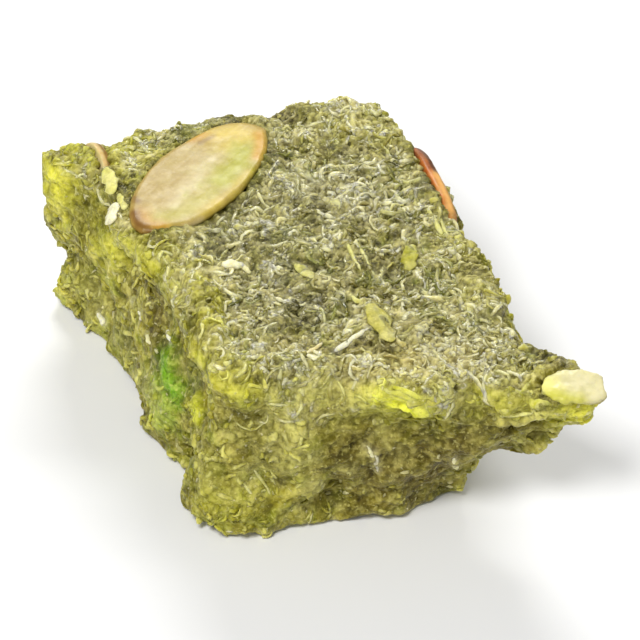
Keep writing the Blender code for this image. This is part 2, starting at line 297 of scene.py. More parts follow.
# Single bits that stand out: the photo's pixels where one starts and ends, its width and height, its colour.
BITS = {
    "oval_back": ((311, 233), (313, 240), 1.7, 0.6, STRAW * 1.1),
    "oval_front": ((314, 246), (313, 250), 2.1, 0.9, WHITE),
    "leaf": ((315, 241), (317, 246), 1.0, 0.5, STRAW),
    "long_bit": ((401, 280), (409, 291), 2.2, 0.50, LEAF * 0.9),
    "long_ridge": ((402, 280), (410, 290), 0.8, 1.00, STRAW * 1.2),
    "long_stem": ((395, 276), (401, 280), 0.6, 0.45, STRAW * 1.1),
    "green_bit": ((414.5, 260), (415.5, 267), 1.8, 0.5, LIME * 0.58),
    "green_second": ((415, 259), (416.5, 262), 1.2, 0.5, STRAW * 0.9),
    "light_bit": ((376, 266), (379, 268), 1.5, 0.5, STRAW * 0.9),
    "light_second": ((378, 267), (381, 270), 1.3, 0.4, STRAW * 0.8),
    "pale_bit": ((351, 265.5), (357, 265.5), 1.3, 0.9, WHITE * 1.1),
    "pale_curl": ((357, 265), (360, 268), 0.7, 0.6, PALE),
    "white_fibre": ((389, 295), (401, 287), 0.7, 0.6, WHITE),
    "grey_fibre": ((376, 299), (387, 291), 0.5, 0.45, ROSE),
    "pair_left": ((393, 257), (398, 268), 0.5, 0.5, STRAW),
    "pair_right": ((396, 256), (401, 266), 0.45, 0.5, STRAW),
    "sliver_end": ((421, 246), (426, 255), 0.7, 0.5, STRAW),
    "sliver_side": ((425, 249), (428, 255), 0.6, 0.5, STRAW),
    "lobe_top": ((404, 305), (413, 307), 0.8, 0.5, STRAW),
    "lobe_streak": ((406, 308), (417, 312), 0.7, 0.3, LIME),
    "lobe_second": ((406, 310), (416, 314), 0.7, 0.3, LIME),
    "lobe_third": ((409, 307), (419, 311), 0.7, 0.3, LIME * 1.1),
    "shelf_edge": ((446, 317), (457, 316), 0.55, 0.6, STRAW * 1.2),
    "shelf_rise": ((457, 316), (466, 310), 0.55, 0.6, STRAW * 1.2),
    "flake_root": ((457, 312), (463, 314), 1.6, 0.9, GREEN * 1.1),
    "front_fibre": ((400, 327), (404, 335), 0.45, 0.4, PALE * 1.2),
    "front_second": ((403, 329), (404, 336), 0.40, 0.4, PALE * 1.2),
    "front_glint": ((430, 331), (431, 335), 0.8, 0.5, PALE * 1.1),
    "foot_fibre": ((361, 335), (367, 344), 0.35, 0.35, STRAW),
    "foot_second": ((364, 334), (369, 341), 0.30, 0.35, STRAW),
    "foot_third": ((357, 339), (362, 346), 0.35, 0.35, STRAW),
    "left_glint": ((308, 282), (310, 285), 0.8, 0.7, WHITE),
    "left_spot": ((322, 281), (323, 284), 0.6, 0.6, WHITE),
    "left_second": ((325, 289), (326, 292), 0.6, 0.6, PALE),
    "left_third": ((332, 287), (333, 291), 0.6, 0.6, WHITE),
}


def step_up(value, low, high):
    """0 up to low, 1 from high, and a smooth rise between them."""
    share = np.clip((value - low) / (high - low), 0.0, 1.0)
    return share * share * (3.0 - 2.0 * share)


def mixed(first, second, share):
    """Colours from first, where share is 0, to second, where it is 1."""
    share = np.clip(np.asarray(share), 0.0, 1.0)[:, None]
    return first * (1.0 - share) + second * share


def between(ends, share):
    """The value at that share of the way between the two ends."""
    return ends[0] + (ends[1] - ends[0]) * share


def toned(colours, tone, light=PALE):
    """The colours, from deep where tone is -1, over their own at 0, to the light colour at 1."""
    deep = mixed(colours, colours * DEEPER, -tone)
    return mixed(deep, light, tone)


def fractal(points, size, octaves, shift):
    """Noise of about -1 to 1 at each point, with its largest features of that size, new for each shift."""
    places = (np.asarray(points) / size + shift).tolist()
    return np.array([noise.fractal(p, 0.7, 2.1, octaves) for p in places])


def grains(points, size, shift):
    """0 between rounded grains of that size and up to 1 on top of them."""
    places = (np.asarray(points) / size + shift).tolist()
    nearest = np.array([noise.voronoi(p)[0][:2] for p in places])
    return np.clip(nearest[:, 1] - nearest[:, 0], 0.0, 0.6) / 0.6


def unit(vectors):
    """The vectors, each with length 1."""
    return vectors / np.maximum(np.linalg.norm(vectors, axis=-1, keepdims=True), 1e-9)


def view_back():
    """The direction from the piece to the camera."""
    rise = math.radians(VIEW_ELEVATION)
    return Vector((0.0, -math.cos(rise), math.sin(rise)))


def eye():
    """The camera's place in millimetres."""
    return Vector(VIEW_TARGET) + view_back() * VIEW_DISTANCE


def seen_at(tree, pixel):
    """The point of the surface that shows at a pixel of the photo."""
    rise = math.radians(VIEW_ELEVATION)
    right = (pixel[0] - PHOTO_TARGET[0]) / PHOTO_FOCAL
    up = (PHOTO_TARGET[1] - pixel[1]) / PHOTO_FOCAL
    direction = Vector((right, 0.0, 0.0)) + up * Vector((0.0, math.sin(rise), math.cos(rise))) - view_back()
    place = tree.ray_cast(eye(), direction)[0]
    if place is None:
        raise ValueError(f"nothing shows at the pixel {pixel}")
    return np.array(place)


def near(points, tree, pixels, radius):
    """1 along the line of places that show at the photo's pixels, falling away over that radius."""
    places = [seen_at(tree, pixel) for pixel in pixels]
    away = np.linalg.norm(points - places[0], axis=1)
    for start, end in zip(places, places[1:]):
        way = end - start
        share = np.clip(((points - start) @ way) / (way @ way), 0.0, 1.0)
        away = np.minimum(away, np.linalg.norm(points - start - share[:, None] * way, axis=1))
    return np.exp(-((away / radius) ** 2))


def threads(points, size, shift):
    """1 along the middle of curly threads, 0 between them. size is about how far apart they are."""
    bend = np.stack([fractal(points, 1.2 * size, 1, shift + 3.0 * axis) for axis in range(3)], axis=1)
    field = fractal(points + 0.6 * size * bend, size, 1, shift + 11.0)
    return 1.0 - step_up(np.abs(field), 0.0, 0.26)


def moved_out(points, tree, mounds):
    """How far the mounds and hollows move the surface out."""
    uneven = 1.0 + 0.5 * fractal(points, 1.2, 2, 73.1)
    total = np.zeros(len(points))
    for pixels, radius, height in mounds.values():
        total += height * step_up(near(points, tree, pixels, radius), 0.1, 0.8)
    return uneven * total


def patched(points, colours, tree, patches):
    """The colours with each patch laid over them, with an uneven border."""
    uneven = 1.0 + 0.7 * fractal(points, 1.8, 2, 23.9)
    for pixels, radius, patch, strength in patches.values():
        colours = mixed(colours, patch, strength * near(points, tree, pixels, radius) ** uneven)
    return colours


def gathered(numbers, vectors, count):
    """The sum of the vectors that have each number, from 0 up to the count."""
    return np.stack([np.bincount(numbers, part, count) for part in vectors.T], axis=1)


def smoothed(points, edges, rounds):
    """The points after each has moved halfway to the mean of its neighbours, that many times."""
    first, second = edges.T
    count = len(points)
    neighbours = np.maximum(np.bincount(edges.ravel(), minlength=count), 1)
    for _ in range(rounds):
        total = gathered(first, points[second], count) + gathered(second, points[first], count)
        points = 0.5 * points + 0.5 * total / neighbours[:, None]
    return points


def kept_in_box(points):
    """The points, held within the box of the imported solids."""
    low, high = (np.array(corner) / MM for corner in CAD_BOX)
    return np.clip(points, low, high)


def linked(name, data):
    """A new object with that data, linked to the scene."""
    made = bpy.data.objects.new(name, data)
    bpy.context.scene.collection.objects.link(made)
    return made


def made_mesh(name, points, faces, colours):
    """An object from its points, its faces, as arrays of corner numbers, and a colour for each point."""
    points = kept_in_box(points)
    mesh = bpy.data.meshes.new(name)
    mesh.vertices.add(len(points))
    mesh.vertices.foreach_set("co", (points * MM).astype(np.float32).ravel())
    sizes = np.concatenate([np.full(len(part), part.shape[1]) for part in faces])
    corners = np.concatenate([part.ravel() for part in faces])
    mesh.loops.add(len(corners))
    mesh.loops.foreach_set("vertex_index", corners.astype(np.int32))
    mesh.polygons.add(len(sizes))
    mesh.polygons.foreach_set("loop_start", (np.cumsum(sizes) - sizes).astype(np.int32))
    mesh.polygons.foreach_set("use_smooth", np.ones(len(sizes), bool))
    mesh.update(calc_edges=True)
    tint = mesh.attributes.new("tint", "FLOAT_COLOR", "POINT")
    rgba = np.concatenate([colours, np.ones((len(points), 1))], axis=1)
    tint.data.foreach_set("color", rgba.astype(np.float32).ravel())
    return linked(name, mesh)


def fine_surface(node_name, voxel, soften):
    """(points, quads, edges, normals) of a CAD node's surface in small even faces, its facets smoothed."""
    copy = linked("fine_copy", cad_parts[node_name].data.copy())
    remesh = copy.modifiers.new("remesh", "REMESH")
    remesh.mode = "VOXEL"
    remesh.voxel_size = voxel * MM
    bpy.context.view_layer.update()
    shape = copy.evaluated_get(bpy.context.evaluated_depsgraph_get()).to_mesh()
    points = np.empty(len(shape.vertices) * 3)
    shape.vertices.foreach_get("co", points)
    edges = np.empty(len(shape.edges) * 2, int)
    shape.edges.foreach_get("vertices", edges)
    quads = np.array([face.vertices[:] for face in shape.polygons])
    bpy.data.objects.remove(copy)
    edges = edges.reshape(-1, 2)
    points = smoothed(points.reshape(-1, 3) / MM, edges, soften)
    return points, quads, edges, normals_of(points, quads)


def quad_crosses(points, quads):
    """For each quad the vector that points straight out of it and is twice as long as its area."""
    a, b, c, d = (points[quads[:, corner]] for corner in range(4))
    return np.cross(c - a, d - b)


def normals_of(points, quads):
    """The outward direction at each point of a surface of quads."""
    crosses = np.repeat(quad_crosses(points, quads), 4, axis=0)
    return unit(gathered(quads.ravel(), crosses, len(points)))


class Surface:
    """The body's outer surface, which shreds and crumbs are laid on."""

    def __init__(self, points, quads, normals, rim, colours):
        self.tree = BVHTree.FromPolygons(points.tolist(), quads.tolist())
        self.middles = points[quads].mean(axis=1)
        self.facing = unit(normals[quads].mean(axis=1))
        self.areas = np.linalg.norm(quad_crosses(points, quads), axis=1) / 2.0
        self.rim = rim[quads].mean(axis=1)
        self.colours = colours[quads].mean(axis=1)

    def nearest(self, places):
        """The nearest points of the surface, their outward directions and the numbers of their faces."""
        found = [self.tree.find_nearest(p) for p in places.tolist()]
        numbers = np.array([f[2] for f in found])
        return np.array([f[0][:] for f in found]), self.facing[numbers], numbers

    def drawn(self, count, weights, random):
        """The numbers of that many faces, drawn at random by area and weight."""
        share = self.areas * weights
        return random.choice(len(share), count, p=share / share.sum())


def top_share(points, facing):
    """1 on the top face, 0 on the sides and the base."""
    return step_up(facing[:, 2], 0.45, 0.8) * step_up(points[:, 2], *TOP_HEIGHTS)


def zone_colour(points, facing, raised, tree):
    """The halwa's colour: grey-olive on top, partly a painted sheen, olive and green on the sides, deeper
    moss as painted shade in low places, and yellow-green where raised, partly painted light coming through.
    """
    broad = fractal(points, 5.5, 2, 11.3)
    top = top_share(points, facing)
    colour = mixed(OLIVE, GREEN, step_up(broad, -0.1, 0.5) * 0.6)
    # Painted shade: the low places of the relief turn to deeper moss.
    colour = mixed(colour, MOSS, step_up(-raised, 0.05, 0.5) * 0.9)
    colour = mixed(colour, HAZE, step_up(fractal(points, 3.6, 2, 31.7), 0.1, 0.5) * 0.4)
    # Partly painted light: raised places and rims turn yellow-green, as if lit through.
    colour = mixed(colour, LIME, step_up(raised, 0.2, 0.8) * 0.6)
    # Partly painted sheen: the top turns grey-olive.
    colour = mixed(colour, SAGE, top * 0.8)
    hue = fractal(points, HUE_SIZE, 2, 61.3)
    colour = mixed(colour, colour * GREENER, step_up(hue, 0.0, 0.4) * 0.8)
    colour = mixed(colour, colour * BROWNER, step_up(-hue, 0.0, 0.4) * 0.8)
    spots = fractal(points, TONE_SIZE, 2, 37.7)
    clumps = fractal(points, CLUMP_SIZE, 2, 81.7)
    tone = (0.95 + 0.30 * top) * spots + (0.60 + 1.10 * top) * clumps
    tone = np.minimum(tone, (0.6 + 0.4 * top) * tone)
    light = mixed(LEMON, PALE, top)
    colour = patched(points, toned(colour, 0.5 * tone, light), tree, PATCHES)
    return toned(colour, 0.6 * tone, light)


def bank(points, almonds):
    """How far the mash beside each almond is banked up."""
    height, width = BANK
    found = [almonds.find_nearest(p, 3.0 * width)[3] for p in points.tolist()]
    away = np.array([3.0 * width if f is None else f for f in found])
    return height * np.exp(-((away / width) ** 2))


class Body:
    """The halwa block as a fine crumbly surface that strands can still draw up."""

    def __init__(self, almonds):
        points, quads, edges, normals = fine_surface("halwa_block", BODY_VOXEL, FACET_ROUNDS)
        self.plain = BVHTree.FromPolygons(points.tolist(), quads.tolist())
        even = smoothed(points, edges, NEAR_ROUNDS)
        evener = smoothed(even, edges, FAR_ROUNDS)
        bulge = ((points - even) * normals).sum(axis=1)
        swell = ((even - evener) * normals).sum(axis=1)
        top = top_share(points, normals)
        side = 1.0 - top
        off_base = step_up(points[:, 2], 0.1, 0.8)
        knolls = fractal(points, KNOLL_SIZE, 2, 51.7)
        lumps = fractal(points, LUMP_SIZE, 3, 3.1)
        cells = grains(points + 0.5 * lumps[:, None], GRAIN_SIZE, 7.7)
        thread = np.maximum(threads(points, THREAD_SIZE, 5.3), 0.8 * threads(points, THREAD_SIZE, 47.9))
        banked = bank(points, almonds)
        height = (0.50 - 0.08 * side) * lumps + (0.10 + 0.10 * side) * (cells - 0.5)
        height += (0.20 + 0.25 * side) * knolls
        height += (0.34 * top + 0.10 * side) * (thread - 0.5)
        height += NEAR_RELIEF * bulge + FAR_RELIEF * swell * side
        height += banked * step_up(normals[:, 2], 0.0, 0.5) + moved_out(points, self.plain, MOUNDS)
        self.points = points + normals * (height * off_base)[:, None]
        self.quads = quads
        fine = smoothed(self.points, edges, CREST_ROUNDS)
        self.normals = normals_of(fine, quads)

        crest = ((self.points - fine) * self.normals).sum(axis=1)
        rim = step_up(bulge, 0.10, 0.55) * step_up(points[:, 2], 1.0, 6.0)
        zone = zone_colour(points, normals, 0.7 * rim + 0.6 * knolls + 0.7 * lumps, self.plain)
        # Painted light and shade: on the sides the crests of the crumbly relief are painted lighter, and
        # everywhere its hollows deeper as painted shade.
        lighter = 0.12 * side * step_up(crest, 0.03, 0.2)
        colour = toned(zone, lighter - 0.8 * step_up(-crest, 0.0, 0.16), LEMON)
        # Painted shade: the mash on top is painted deep, as the shade in the gaps between the strands over
        # it, and the mash right beside each almond as a contact shadow.
        almond_contact_shade = banked / BANK[0]
        colour = toned(colour, -np.maximum(0.9 * top, 1.5 * almond_contact_shade ** 2))
        pale = toned(zone, 0.5 * step_up(fractal(points, 1.6, 2, 29.3), -0.3, 0.5))
        self.colour = mixed(colour, pale, step_up(thread, 0.35, 0.95) * top * 0.7)
        self.surface = Surface(self.points, quads, self.normals, rim, zone)

    def draw_up(self, laid):
        """Raises the mash beside all that is laid on it and lets the colour of that run into it."""
        rise, reach = FILLET
        places = np.concatenate([group.path.reshape(-1, 3) for group in laid])
        colours = np.concatenate([group.each_step(group.colours) for group in laid])
        widths = np.concatenate([group.each_step(group.widths) for group in laid])
        tree = KDTree(len(places))
        for number, place in enumerate(places.tolist()):
            tree.insert(place, number)
        tree.balance()
        found = [tree.find(p) for p in self.points.tolist()]
        numbers = np.array([f[1] for f in found])
        away = np.maximum(np.array([f[2] for f in found]) - 0.35 * widths[numbers], 0.0)
        share = np.exp(-((away / reach) ** 2)) * step_up(self.points[:, 2], 0.2, 1.0)
        self.points += self.normals * (rise * share)[:, None]
        self.colour = mixed(self.colour, colours[numbers] * 0.7, share * 0.35)


def walked(surface, starts, headings, lengths, steps, turns, random, wander):
    """Paths of that many steps which follow the surface. Gives their points and outward directions."""
    count = len(starts)
    path = np.empty((count, steps, 3))
    outward = np.empty((count, steps, 3))
    here, heading = starts, headings
    for step in range(steps):
        here, facing, _ = surface.nearest(here)
        path[:, step] = here
        outward[:, step] = facing
        heading = unit(heading - facing * (heading * facing).sum(axis=1)[:, None])
        angle = (turns + random.normal(0.0, wander, count))[:, None]
        heading = heading * np.cos(angle) + np.cross(facing, heading) * np.sin(angle)
        here = here + heading * (lengths / (steps - 1))[:, None]
    return path, outward


def tubes(path, outward, half_widths, half_heights, roll, sides, knobs):
    """(points, faces) of closed knobbly tubes along paths, with their half sizes and roll at each step."""
    count, steps, _ = path.shape
    along = unit(np.gradient(path, axis=1))
    flat = unit(np.cross(outward, along))
    rise = np.cross(along, flat)
    turn = roll[:, :, None]
    across = flat * np.cos(turn) + rise * np.sin(turn)
    up = rise * np.cos(turn) - flat * np.sin(turn)
    angles = np.arange(sides) * 2.0 * np.pi / sides
    wide = np.cos(angles) * half_widths[:, :, None]
    high = np.sin(angles) * half_heights[:, :, None]
    ring = across[:, :, None] * wide[..., None] + up[:, :, None] * high[..., None]
    rough = fractal((path[:, :, None] + ring).reshape(-1, 3), 0.8, 2, 2.7).reshape(count, steps, sides, 1)
    points = (path[:, :, None] + ring * (1.0 + knobs * rough)).reshape(-1, 3)
    start = (np.arange(count)[:, None, None] * steps + np.arange(steps - 1)[:, None]) * sides
    corner = np.arange(sides)
    following = (corner + 1) % sides
    walls = [start + corner, start + following, start + sides + following, start + sides + corner]
    first = start[:, 0] + corner[::-1]
    last = start[:, -1] + sides + corner
    return points, [np.stack(walls, axis=-1).reshape(-1, 4), first, last]


def far_from(almonds, path):
    """True for each path that keeps clear of every almond."""
    thinned = path[:, :: max(1, path.shape[1] // 4)].tolist()
    return np.array([all(almonds.find_nearest(p, CLEARANCE)[0] is None for p in line) for line in thinned])


@dataclass
class Laid:
    """What is laid on the body: the object, and each strand's path, colour and width."""

    piece: bpy.types.Object
    path: np.ndarray
    colours: np.ndarray
    widths: np.ndarray

    def each_step(self, values):
        """The strands' values, repeated for each step of their paths."""
        return np.repeat(values, self.path.shape[1], axis=0)


@dataclass
class Kind:
    """One kind of grated gourd: how many, its sizes, how it lies, and its mesh's steps and sides.

    lie is its height over the surface, arch its rise in the middle, and roll and curl are how far it turns.
    """

    count: int
    length: tuple
    width: tuple
    height: tuple
    lie: tuple
    arch: float
    roll: float
    curl: float
    steps: int
    sides: int


TOP_STRAND = Kind(
    count=1500, length=(1.5, 5.2), width=(0.36, 0.95), height=(0.28, 0.50), lie=(-0.14, 0.14),
    arch=0.20, roll=0.6, curl=2.6, steps=10, sides=5,
)
TOP_CURL = Kind(
    count=1000, length=(1.2, 3.8), width=(0.30, 0.70), height=(0.26, 0.46), lie=(-0.10, 0.18),
    arch=0.24, roll=0.7, curl=4.2, steps=9, sides=5,
)
TOP_SHRED = Kind(
    count=300, length=(1.5, 4.0), width=(0.6, 1.4), height=(0.18, 0.30), lie=(-0.12, 0.06),
    arch=0.12, roll=0.6, curl=2.8, steps=7, sides=6,
)
SIDE_SHRED = Kind(
    count=750, length=(1.4, 5.0), width=(0.45, 1.25), height=(0.22, 0.40), lie=(-0.20, -0.02),
    arch=0.10, roll=0.6, curl=2.4, steps=8, sides=6,
)
RIM_CURL = Kind(
    count=1450, length=(0.9, 2.8), width=(0.40, 1.10), height=(0.28, 0.55), lie=(-0.16, 0.16),
    arch=0.28, roll=0.9, curl=2.8, steps=7, sides=6,
)


def shreds(name, kind, surface, almonds, weights, palette, seed):
    """Grated gourd of one kind: curly strands that are half sunk in the surface."""
    random = np.random.default_rng(seed)
    count = kind.count
    chosen = surface.drawn(count, weights, random)
    starts = surface.middles[chosen]
    common = np.stack([fractal(starts, FLOW_SIZE, 1, 91.0 + 7.0 * axis) for axis in range(3)], axis=1)
    headings = unit(np.cross(surface.facing[chosen], FLOW * common + random.normal(size=(count, 3))))
    lengths = between(kind.length, random.random(count) ** 1.8)
    turns = random.normal(0.0, kind.curl / kind.steps, count)
    path, outward = walked(surface, starts, headings, lengths, kind.steps, turns, random, wander=0.22)

    share = np.linspace(0.0, 1.0, kind.steps)
    base = between(kind.lie, random.random((count, 1)) ** 1.3)
    curve = kind.arch * random.random((count, 1)) * (1.0 - (2.0 * share - 1.0) ** 2)
    ends = 0.18 * np.abs(2.0 * share - 1.0) ** 3
    path = path + outward * (base + curve - ends)[:, :, None]

    clear = far_from(almonds, path)
    path, outward, chosen = path[clear], outward[clear], chosen[clear]
    kept = len(path)
    taper = 0.3 + 0.7 * np.sqrt(np.clip(1.0 - np.abs(2.0 * share - 1.0) ** 3, 0.0, 1.0))
    uneven = taper * (1.0 + 0.20 * random.normal(size=(kept, kind.steps)).clip(-2.0, 2.0))
    width = between(kind.width, random.random((kept, 1)) ** 1.5) * uneven
    height = between(kind.height, random.random((kept, 1))) * uneven
    roll = kind.roll * (random.normal(size=(kept, 1)) + random.normal(size=(kept, 1)) * (share - 0.5))
    points, faces = tubes(path, outward, width / 2.0, height / 2.0, roll, kind.sides, knobs=0.45)
    colours = palette(surface.colours[chosen], random)
    spots = fractal(path.reshape(-1, 3), 0.9, 2, 66.1).reshape(kept, kind.steps)
    sunk = 0.6 * np.abs(2.0 * share - 1.0) ** 2
    along = toned(np.repeat(colours, kind.steps, axis=0), (0.5 * spots - sunk).ravel())
    piece = made_mesh(name, points, faces, np.repeat(along, kind.sides, axis=0))
    return Laid(piece, path, colours, width.max(axis=1))


def bits(name, listed, surface):
    """The listed single bits, each a knobbly lump that lies along the surface between its two places."""
    steps, sides = 12, 12
    share = (1.0 - np.cos(np.linspace(0.04, 0.96, steps) * np.pi)) / 2.0
    girth = np.sqrt(1.0 - np.abs(2.0 * share - 1.0) ** 2.6)
    made = []
    for first, last, width, height, colour in listed.values():
        start, end = seen_at(surface.tree, first), seen_at(surface.tree, last)
        reach = unit(end - start) * width * 0.3
        line = (start - reach)[None] + (end - start + 2.0 * reach)[None] * share[:, None]
        path, outward, _ = surface.nearest(line)
        path = smoothed(path, np.array([(i, i + 1) for i in range(steps - 1)]), 2) + outward * (0.20 * width)
        uneven = girth * (1.0 + 0.3 * fractal(path, 1.0, 2, 4.4))
        made.append((path, outward, width / 2.0 * uneven, height / 2.0 * uneven, colour))
    paths, outwards, widths, heights, colours = (np.array(part) for part in zip(*made))
    level = np.zeros((len(paths), steps))
    points, faces = tubes(paths, outwards, widths, heights, level, sides, knobs=0.55)
    along = toned(np.repeat(colours, steps, axis=0), 0.15 + 0.4 * fractal(paths.reshape(-1, 3), 1.0, 2, 66.1))
    piece = made_mesh(name, points, faces, np.repeat(along, sides, axis=0))
    return Laid(piece, paths, colours, 2.0 * widths.max(axis=1))


def icosphere():
    """(points, triangles) of a ball of radius 1: an icosahedron with each face split in four."""
    golden, edge = (1.0 + math.sqrt(5.0)) / 2.0, 2.0
    points = [np.roll((0.0, a, b * golden), turn) for turn in range(3) for a in (-1, 1) for b in (-1, 1)]
    corners = range(len(points))
    middles = {}
    for a, b in combinations(corners, 2):
        if math.isclose(math.dist(points[a], points[b]), edge):
            middles[a, b] = middles[b, a] = len(points)
            points.append((points[a] + points[b]) / 2.0)
    faces = []
    for a, b, c in combinations(corners, 3):
        if (a, b) in middles and (b, c) in middles and (c, a) in middles:
            if np.cross(points[b] - points[a], points[c] - points[a]) @ points[a] < 0.0:
                b, c = c, b
            ab, bc, ca = middles[a, b], middles[b, c], middles[c, a]
            faces += [(a, ab, ca), (b, bc, ab), (c, ca, bc), (ab, bc, ca)]
    return unit(np.array(points)), np.array(faces)


def crumbs(name, surface, almonds, count, weights, size, palette, seed):
    """Small lumps of mashed gourd that are half sunk in the surface. size is (smallest, largest)."""
    random = np.random.default_rng(seed)
    ball, triangles = icosphere()
    chosen = surface.drawn(count, weights, random)
    chosen = chosen[far_from(almonds, surface.middles[chosen][:, None])]
    places, facing = surface.middles[chosen], surface.facing[chosen]
    kept = len(places)
    radius = between(size, random.random(kept) ** 2.5) / 2.0
    along = unit(np.cross(facing, random.normal(size=(kept, 3))))
    across = np.cross(facing, along)
    stretch = 1.0 + 1.2 * random.random((kept, 1, 1))
    own = ball[None] + 9.0 * random.random((kept, 1, 3))
    knobs = fractal(own.reshape(-1, 3), 0.8, 2, 0.0).reshape(kept, -1, 1)
    shape = ball[None] * (1.0 + 0.8 * knobs)
    lumps = along[:, None] * shape[:, :, :1] * stretch
    lumps += across[:, None] * shape[:, :, 1:2] / np.sqrt(stretch)
    lumps += facing[:, None] * shape[:, :, 2:] * 0.75
    points = places[:, None] + lumps * radius[:, None, None]
    faces = (np.arange(kept)[:, None, None] * len(ball) + triangles[None]).reshape(-1, 3)
    colours = np.repeat(palette(surface.colours[chosen], random), len(ball), axis=0)
    return made_mesh(name, points.reshape(-1, 3), [faces], colours)


def top_strand_colour(own, random):
    """Strands on top: many paler than the halwa under them, others deeper."""
    return toned(own * 1.1, 1.8 * random.random(len(own)) ** 1.5 - 0.6)


def shred_colour(own, random):
    """Flat shreds: much like the halwa under them, some lighter or darker."""
    return toned(own, 0.9 * random.random(len(own)) - 0.4, LEMON)


def curl_colour(own, random):
    """Curls along the rims: a little yellower than the halwa where they lie."""
    colour = mixed(own, LIME, 0.3 * random.random(len(own)))
    return toned(colour, 0.8 * random.random(len(own)) - 0.35, LEMON)


def grain_and_glint_colour(own, random):
    """Small wet grains: most are paler than the halwa where they lie, partly as painted glints of wet
    highlights, some deeper.
    """
    return toned(own, random.random(len(own)) - 0.25)


def node(tree, kind, settings=None, **inputs):
    """A new shader node with its settings, and its inputs as values or as sockets to link from."""
    made = tree.nodes.new(kind)
    for name, value in (settings or {}).items():
        setattr(made, name, value)
    for name, value in inputs.items():
        socket = made.inputs[name.replace("_", " ")]
        if isinstance(value, bpy.types.NodeSocket):
            tree.links.new(value, socket)
        else:
            socket.default_value = value
    return made


def noise_field(tree, size, detail, distortion=0.0):
    """The value of a noise texture in the object's own space, with features of that size."""
    place = node(tree, "ShaderNodeTexCoord").outputs["Object"]
    field = node(tree, "ShaderNodeTexNoise", Vector=place, Scale=1.0 / (size * MM), Detail=detail,
                 Distortion=distortion)
    return field.outputs["Fac"]


def ranged(tree, value, source, target):
    """The value, taken over from the source range to the target range and held within it."""
    made = node(tree, "ShaderNodeMapRange", Value=value, From_Min=source[0], From_Max=source[1],
                To_Min=target[0], To_Max=target[1])
    return made.outputs["Result"]


def blended(tree, share, first, second, way="MIX"):
    """The colour of the socket first, blended by that share with the plain colour second."""
    made = node(tree, "ShaderNodeMix", {"data_type": "RGBA", "blend_type": way})
    tree.links.new(share, made.inputs[MIX_SHARE])
    tree.links.new(first, made.inputs[MIX_FIRST])
    made.inputs[MIX_SECOND].default_value = (*second, 1.0)
    return made.outputs[MIX_RESULT]


def new_material(name):
    """(material, node tree, Principled shader) of a new material."""
    material = bpy.data.materials.new(name)
    material.use_nodes = True
    tree = material.node_tree
    return material, tree, tree.nodes["Principled BSDF"]


def moist(name, light, speckle, specks, gloss, shine, bump, scatter, coat):
    """A moist, slightly see-into food surface that takes its colour from the mesh's tint.

    speckle is (size, how far it deepens the colour, how far it turns it to the light one), specks (size,
    strength) of pale dots that are partly painted glints of wet highlights, gloss (smoothest, roughest),
    shine the highlights' tint, bump (size, height), scatter (weight, depth), and coat, the wet film, (weight,
    roughness).
    """
    material, tree, shader = new_material(name)
    size, deep, pale = speckle
    tint = node(tree, "ShaderNodeAttribute", {"attribute_name": "tint"}).outputs["Color"]
    grain = noise_field(tree, size, 4.0, 0.4)
    deepened = blended(tree, ranged(tree, grain, (0.36, 0.54), (deep, 0.0)), tint, DEEPER, "MULTIPLY")
    paler = node(tree, "ShaderNodeMath", {"operation": "MAXIMUM"})
    tree.links.new(ranged(tree, grain, (0.50, 0.70), (0.0, pale)), paler.inputs[0])
    # Pale dots of the light colour: partly the grain of the food, partly painted glints of wet highlights.
    speck = noise_field(tree, specks[0], 2.0)
    tree.links.new(ranged(tree, speck, (0.60, 0.70), (0.0, specks[1])), paler.inputs[1])
    colour = blended(tree, paler.outputs["Value"], deepened, light)
    tree.links.new(colour, shader.inputs["Base Color"])
    wet = ranged(tree, noise_field(tree, 1.4, 3.0), (0.35, 0.65), gloss)
    tree.links.new(wet, shader.inputs["Roughness"])
    relief = node(tree, "ShaderNodeBump", Height=noise_field(tree, bump[0], 5.0, 0.6), Distance=bump[1] * MM,
                  Strength=1.0)
    tree.links.new(relief.outputs["Normal"], shader.inputs["Normal"])
    settings = {
        "Subsurface Weight": scatter[0],
        "Subsurface Radius": SINKING,
        "Subsurface Scale": scatter[1] * MM,
        "IOR": MOIST_IOR,
        "Specular Tint": (*shine, 1.0),
        "Coat Weight": coat[0],
        "Coat Roughness": coat[1],
    }
    for setting, value in settings.items():
        shader.inputs[setting].default_value = value
    return material


def halwa_mash():
    """The block's mash: grainy, hardly glossy, and light sinks well into it."""
    return moist("halwa_mash", light=LEMON, speckle=(0.6, 0.48, 0.22), specks=(0.5, 0.35),
                 gloss=(0.30, 0.50), shine=WARMER, bump=(0.40, 0.20), scatter=(0.55, 1.5), coat=(0.0, 0.14))


def gourd_strand():
    """The strands on top: pale, glossy, and wet all over."""
    return moist("gourd_strand", light=PALE, speckle=(0.7, 0.35, 0.20), specks=(0.4, 0.4),
                 gloss=(0.20, 0.34), shine=WARM, bump=(0.25, 0.06), scatter=(0.7, 1.2), coat=(0.35, 0.12))


def gourd_shred():
    """The other shreds, curls, grains and bits: smooth, and softer in their gloss."""
    return moist("gourd_shred", light=LEMON, speckle=(0.6, 0.30, 0.20), specks=(0.4, 0.4),
                 gloss=(0.36, 0.54), shine=WARMER, bump=(0.30, 0.08), scatter=(0.6, 1.2), coat=(0.0, 0.16))


def almond_flesh():
    """The almonds: dense, nearly smooth, with a thin film of syrup."""
    return moist("almond_flesh", light=PALE, speckle=(0.8, 0.12, 0.06), specks=(0.5, 0.1),
                 gloss=(0.38, 0.55), shine=WARM, bump=(0.5, 0.015), scatter=(0.4, 1.0), coat=(0.1, 0.2))


